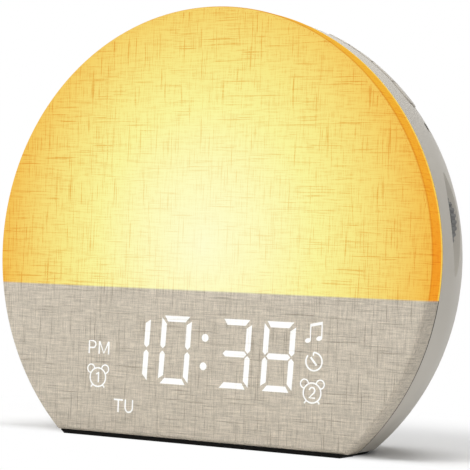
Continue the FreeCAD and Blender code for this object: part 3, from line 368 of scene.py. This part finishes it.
housing_grey = (0.560, 0.525, 0.462)
finishes = {
    "linen": linen_finish(),
    # the housing carries painted shade in the seam gap behind the linen
    "housing": moulded_finish("housing_plastic", housing_grey, 0.46, painted_shade_depth=painted_seam_shade_depth),
    "key": moulded_finish("key_plastic", (0.500, 0.462, 0.400), 0.42),
    "wheel": moulded_finish("wheel_plastic", (0.155, 0.153, 0.145), 0.50),
    "pad": moulded_finish("pad_rubber", (0.006, 0.0055, 0.005), 0.9, grain=0.00012, blotch=0.2, shine=0.1),
    "diffuser": glow_finish("diffuser_glow", (1.0, 0.72, 0.30), 0.6),
    "panel": moulded_finish("panel_black", grey(0.02), 0.6),
    "lightguide": glow_finish("lightguide_glow", (1.0, 1.0, 0.96), 1.0),
    "black_plastic": moulded_finish("black_plastic", grey(0.018), 0.5),
    "white_plastic": moulded_finish("white_plastic", grey(0.82), 0.4),
    "lens": moulded_finish("lens_dark", grey(0.008), 0.08, grain=0.0, blotch=0.0),
    "board": board_finish("board_green", (0.010, 0.075, 0.030)),
    "white_board": board_finish("board_white", grey(0.78)),
    "led": glow_finish("led_glow", (1.0, 0.74, 0.32), 1.0),
    "chip": moulded_finish("chip_black", grey(0.015), 0.45),
    "can": metal_finish("capacitor_can", grey(0.62), 0.35),
    "screw": metal_finish("screw_zinc", grey(0.48), 0.32),
    "steel": metal_finish("steel_plain", grey(0.55), 0.38),
    "cell": metal_finish("cell_nickel", (0.66, 0.65, 0.62), 0.22),
    "magnet": moulded_finish("magnet_ferrite", grey(0.03), 0.55),
    "cone": moulded_finish("cone_pulp", grey(0.02), 0.8, grain=0.0001, blotch=0.2),
    "foam": moulded_finish("foam_black", grey(0.015), 0.9, grain=0.0002, blotch=0.2),
    "wire_red": moulded_finish("wire_red", (0.42, 0.02, 0.02), 0.45),
    "wire_white": moulded_finish("wire_white", grey(0.7), 0.45),
    "plug": moulded_finish("plug_ivory", (0.72, 0.66, 0.50), 0.45),
    "brass": metal_finish("pin_brass", (0.70, 0.52, 0.22), 0.3),
}
slots = {row["node"]: row["material_slot"] for row in frame["record"]["subparts"]}
for name, node in nodes.items():
    node.data.materials.clear()
    node.data.materials.append(finishes[slots[name]])


# Linen cover: a sheet wrapped over the face, round the edge and under the foot

def face_outline(inset, arc_steps=220, foot_steps=90, corner_steps=5):
    """The face's outline, in (x, z) about its centre: an arc, two eased corners and the flat foot."""
    radius = face_radius - inset
    drop = foot_drop - inset
    ease = max(corner_round - inset, least_corner)
    # each corner's circle touches the arc from inside and the flat from above
    hub_z = -drop + ease
    hub_x = math.sqrt((radius - ease) ** 2 - hub_z ** 2)
    touch = math.atan2(hub_z, hub_x)

    def corner(side, start, stop, first, last):
        turns = [start + (stop - start) * i / corner_steps for i in range(first, last)]
        return [(side * hub_x + ease * math.cos(turn), hub_z + ease * math.sin(turn)) for turn in turns]

    points = []
    for i in range(arc_steps + 1):
        angle = touch + (math.pi - 2 * touch) * i / arc_steps
        points.append((radius * math.cos(angle), radius * math.sin(angle)))
    points += corner(-1, math.pi - touch, 1.5 * math.pi, 1, corner_steps + 1)
    for i in range(1, foot_steps + 1):
        points.append((-hub_x + 2 * hub_x * i / foot_steps, -drop))
    points += corner(1, -0.5 * math.pi, touch, 1, corner_steps)
    return points


def linen_row(inset, depth):
    """One round of the sheet: the outline at a depth behind the face."""
    return [(x, face_front + depth, z + centre_height) for x, z in face_outline(inset)]


def linen_sheet(edge_steps=4, face_rings=10):
    """Rounds over the edge and along the side band, the hem behind it, and rings to the face's middle."""
    rows = []
    for step in range(edge_steps + 1):
        angle = step / edge_steps * math.pi / 2
        rows.append(linen_row(edge_round * (1 - math.sin(angle)), edge_round * (1 - math.cos(angle))))
    for depth in side_rows:
        rows.append(linen_row(0.0, depth))
    rows.append(linen_row(hem_turn, linen_depth))
    count = len(rows[0])
    vertices = [p for row in rows for p in row]
    faces = []
    for r in range(len(rows) - 1):
        for i in range(count):
            j = (i + 1) % count
            faces.append((r * count + i, r * count + j, (r + 1) * count + j, (r + 1) * count + i))
    outer = 0
    for ring in range(1, face_rings + 1):
        shrink = 1 - ring / (face_rings + 1)
        inner = len(vertices)
        for x, z in face_outline(edge_round):
            vertices.append((x * shrink, face_front, z * shrink + centre_height))
        for i in range(count):
            j = (i + 1) % count
            faces.append((inner + i, inner + j, outer + j, outer + i))
        outer = inner
    hub = len(vertices)
    vertices.append((0, face_front, centre_height))
    for i in range(count):
        faces.append((hub, outer + (i + 1) % count, outer + i))
    return mesh_from("linen", vertices, faces)


def face_outward(mesh):
    """Turns the sheet's faces outward and returns their area."""
    bm = bmesh.new()
    bm.from_mesh(mesh)
    bmesh.ops.recalc_face_normals(bm, faces=bm.faces)
    area = sum(face.calc_area() for face in bm.faces)
    bm.to_mesh(mesh)
    bm.free()
    if mesh.polygons[0].normal.y > 0.9:
        mesh.flip_normals()
    return area


linen = add_piece("linen", linen_sheet(), finishes["linen"], "casing")
linen_area = face_outward(linen.data)
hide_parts("linen_cover")


# Lit marks: numbers and small signs that shine through the linen

marks = mark_finish()


class Marks:
    """Flat outlines just ahead of the face, in millimetres about the centre of the circle."""

    def __init__(self):
        self.vertices = []
        self.faces = []

    def polygon(self, points):
        base = len(self.vertices)
        for x, z in points:
            self.vertices.append((x * MM, face_front - mark_lift, z * MM + centre_height))
        self.faces.append(tuple(range(base, base + len(points))))

    def dot(self, x, z, radius, height=None, tilt=0.0, steps=24):
        """A round dot, or an oval one where its height is given."""
        points = []
        for i in range(steps):
            u = radius * math.cos(2 * math.pi * i / steps)
            v = (height or radius) * math.sin(2 * math.pi * i / steps)
            points.append((x + u * math.cos(tilt) - v * math.sin(tilt),
                           z + u * math.sin(tilt) + v * math.cos(tilt)))
        self.polygon(points)

    def band(self, points, width, closed=False):
        """A stroke of even width along a line of points."""
        count = len(points)
        sides = []
        for i, (x, z) in enumerate(points):
            before = points[i - 1] if i or closed else points[i]
            after = points[(i + 1) % count] if i < count - 1 or closed else points[i]
            dx, dz = after[0] - before[0], after[1] - before[1]
            reach = math.hypot(dx, dz) * 2 / width
            sides.append(((x - dz / reach, z + dx / reach), (x + dz / reach, z - dx / reach)))
        for i in range(count if closed else count - 1):
            a, b = sides[i], sides[(i + 1) % count]
            self.polygon([a[0], b[0], b[1], a[1]])

    def arc(self, x, z, radius, start, stop, width, steps=40):
        full = abs(stop - start) >= 360
        points = []
        for i in range(steps if full else steps + 1):
            angle = math.radians(start + (stop - start) * i / steps)
            points.append((x + radius * math.cos(angle), z + radius * math.sin(angle)))
        self.band(points, width, closed=full)

    def piece(self, name):
        """One piece of all the outlines, with each face turned to the front."""
        mesh = mesh_from(name, self.vertices, self.faces)
        bm = bmesh.new()
        bm.from_mesh(mesh)
        for face in bm.faces:
            if face.normal.y > 0:
                face.normal_flip()
        bm.to_mesh(mesh)
        bm.free()
        return add_piece(name, mesh, marks, "casing", smooth=False)


digit_height, digit_width, stroke, stroke_gap = 24.7, 12.7, 2.15, 0.75
digits_level = -34.35
digits_lit = ((-27.45, "bc"), (-9.95, "abcdef"), (14.98, "abcdg"), (32.65, "abcdefg"))
colon_dots = ((2.62, -29.25), (2.18, -39.45))
colon_radius = 1.42
lean = math.tan(math.radians(2.5))
# how far each segment's tips stand back, at its outer and its inner edge
bar_start, bar_end, left_tip, right_tip = (1.15, 0.45), (0.85, 0.55), (0.75, 0.85), (1.75, 0.95)


def segments():
    """The seven segments of a digit about its middle, by their usual letters."""
    a, b, w = digit_width / 2, digit_height / 2, stroke
    m = stroke_gap / 2
    top = [(-a + bar_start[0], b), (a - bar_end[0], b),
           (a - w - bar_end[1], b - w), (-a + w + bar_start[1], b - w)]
    right = [(a, b - right_tip[0]), (a, w / 2 + m), (a - w / 2, m), (a - w, w / 2 + m),
             (a - w, b - w - right_tip[1])]
    left = [(-a, b - left_tip[0]), (-a, w / 2 + m), (-a + w / 2, m), (-a + w, w / 2 + m),
            (-a + w, b - w - left_tip[1])]
    bar = [(-a + w / 2 + m, 0), (-a + w + m, w / 2), (a - w - m, w / 2),
           (a - w / 2 - m, 0), (a - w - m, -w / 2), (-a + w + m, -w / 2)]

    def turned_over(points):
        return [(-x, -z) for x, z in points]

    return {"a": top, "b": right, "c": turned_over(left), "d": turned_over(top), "e": turned_over(right),
            "f": left, "g": bar}


def clock_digits():
    made = Marks()
    shapes = segments()
    for x, lit in digits_lit:
        for key in lit:
            made.polygon([(x + px + lean * pz, digits_level + pz) for px, pz in shapes[key]])
    for x, z in colon_dots:
        made.dot(x, z, radius=colon_radius)
    made.piece("time_digits")


def alarm_sign(made, x, z, number):
    """A bell clock with two ears and two feet about its number."""
    made.arc(x, z, radius=3.45, start=0, stop=360, width=0.55, steps=48)
    for side in (-1, 1):
        # each ear is open towards the ring
        inward = 225 if side > 0 else 315
        made.arc(x + side * 3.1, z + 3.1, radius=1.55, start=inward + 44, stop=inward + 316,
                 width=0.5, steps=20)
        made.band([(x + side * 2.35, z - 2.9), (x + side * 3.0, z - 3.7)], 0.55)
    if number == 1:
        made.band([(x + 0.25, z - 1.9), (x + 0.25, z + 1.9)], 0.6)
        made.band([(x + 0.25, z + 1.75), (x - 0.75, z + 1.05)], 0.55)
    else:
        two = [(-1.2, 0.95), (-0.75, 1.7), (0, 1.95), (0.8, 1.65), (1.1, 0.9), (0.75, 0.1),
               (-1.15, -1.7), (1.25, -1.7)]
        made.band([(x + px, z + pz) for px, pz in two], 0.55)


def letters(made, thin=0.62):
    """PM at the left, and TU below it."""
    made.band([(-47.3, -37.5), (-47.3, -32.8), (-45.4, -32.8), (-44.5, -33.4), (-44.4, -34.3),
               (-44.9, -35.1), (-45.6, -35.3), (-47.0, -35.3)], thin)
    made.band([(-42.85, -37.5), (-42.85, -32.8)], thin)
    made.band([(-42.75, -32.8), (-40.75, -37.2), (-38.75, -32.8)], thin)
    made.band([(-38.65, -37.5), (-38.65, -32.8)], thin)
    made.band([(-35.6, -53.8), (-31.5, -53.8)], thin)
    made.band([(-33.55, -53.8), (-33.55, -58.4)], thin)
    made.band([(-30.5, -53.5), (-30.5, -56.6), (-30.2, -57.5), (-29.5, -58.05), (-28.8, -58.1),
               (-28.1, -57.9), (-27.5, -57.3), (-27.3, -56.5), (-27.3, -53.5)], thin)


def music_note(made):
    made.band([(45.2, -27.8), (45.2, -22.5)], 0.45)
    made.band([(49.6, -26.9), (49.6, -21.6)], 0.45)
    made.polygon([(44.98, -22.2), (49.82, -21.2), (49.82, -22.25), (44.98, -23.25)])
    for x, z in ((44.25, -28.0), (48.65, -27.1)):
        made.dot(x, z, radius=1.2, height=0.8, tilt=0.3)


def countdown_dial(made):
    made.arc(46.9, -35.2, radius=3.15, start=140, stop=455, width=0.6, steps=44)
    made.band([(46.63, -32.05), (46.63, -33.2)], 0.6)
    made.band([(45.5, -33.7), (48.0, -36.5)], 0.75)


def small_signs():
    made = Marks()
    letters(made)
    alarm_sign(made, -43.0, -46.1, 1)
    alarm_sign(made, 46.6, -46.1, 2)
    music_note(made)
    countdown_dial(made)
    made.piece("small_signs")


clock_digits()
small_signs()


# Room: floor, white surround, soft lights

def floor_finish():
    """Matt white that fades into the surround away from the clock, where the camera looks at it."""
    f = Finish("floor_white", Roughness=0.9, Base_Color=(0.90, 0.90, 0.90, 1))
    # the fade starts about a line behind the foot, and at the foot's front
    line_half, line_back = 0.045, 0.03
    beside = (f.x.size() - line_half).most(0.0)
    behind = f.y - line_back
    away = (beside ** 2.0 + behind * behind).root()
    fade = away.ramp(0.025, 0.150).most((-f.y).ramp(0.006, 0.034))
    white = f.node("ShaderNodeEmission", {}, {"Color": (1, 1, 1, 1), "Strength": 1.0})
    blend = f.node("ShaderNodeMixShader", {},
                   {0: f.looked_at() * fade, 1: f.shader.outputs[0], 2: white.outputs[0]})
    f.put(blend.outputs[0], f.output.inputs["Surface"])
    return f.material


def white_surround(strength):
    """White to look at, with a softer light of its own on the clock."""
    world = bpy.data.worlds.new("surround")
    bpy.context.scene.world = world
    world.use_nodes = True
    room = Wiring(world.node_tree)
    light = room.tree.nodes["Background"]
    light.inputs["Color"].default_value = (1, 1, 1, 1)
    light.inputs["Strength"].default_value = strength
    view = room.node("ShaderNodeBackground", {}, {"Color": (1, 1, 1, 1), "Strength": 1.0})
    choose = room.node("ShaderNodeMixShader", {},
                       {0: room.looked_at(), 1: light.outputs[0], 2: view.outputs[0]})
    room.put(choose.outputs[0], room.tree.nodes["World Output"].inputs["Surface"])


def soft_light(name, place, target, size, power):
    data = bpy.data.lights.new(name, "AREA")
    data.shape = "SQUARE"
    data.size = size
    data.energy = power
    lamp = bpy.data.objects.new(name, data)
    lamp.location = place
    lamp.rotation_euler = (Vector(target) - Vector(place)).to_track_quat("-Z", "Y").to_euler()
    bpy.context.scene.collection.objects.link(lamp)


edge = 4
floor_corners = [(-edge, -edge, 0), (edge, -edge, 0), (edge, edge, 0), (-edge, edge, 0)]
floor_mesh = mesh_from("floor", floor_corners, [(0, 1, 2, 3)])
floor = add_piece("floor", floor_mesh, floor_finish(), body=None, smooth=False)
white_surround(strength=0.31)
middle = (0, 0, 0.07)
soft_light("key_light", (-0.38, -0.85, 1.05), middle, size=0.7, power=10.6)
soft_light("top_light", (0.12, 0.12, 1.2), middle, size=0.6, power=6.5)


# Camera, placed as the photograph was taken

sensor_width = 36.0
focal_pixels = 1936.8
photo_pixels = 470.0
camera_from_face = (0.3599, -0.5949, -0.0015)
yaw, pitch, roll = math.radians(30.22), math.radians(-0.78), math.radians(2.11)


def photo_camera():
    level = Vector((math.cos(yaw), math.sin(yaw), 0))
    forward = Vector((-math.sin(yaw) * math.cos(pitch), math.cos(yaw) * math.cos(pitch), -math.sin(pitch)))
    upright = level.cross(forward)
    right = level * math.cos(roll) + upright * math.sin(roll)
    up = upright * math.cos(roll) - level * math.sin(roll)
    data = bpy.data.cameras.new("camera")
    data.sensor_width = sensor_width
    data.lens = sensor_width * focal_pixels / photo_pixels
    data.clip_start = 0.01
    data.clip_end = 50.0
    camera = bpy.data.objects.new("camera", data)
    bpy.context.scene.collection.objects.link(camera)
    x, y, z = camera_from_face
    turn = Matrix((right, up, -forward)).transposed()
    camera.matrix_world = Matrix.Translation((x, y + face_front, z + centre_height)) @ turn.to_4x4()
    return camera


bpy.context.scene.camera = photo_camera()
bpy.context.scene.view_settings.view_transform = "Standard"

bpy.context.view_layer.update()
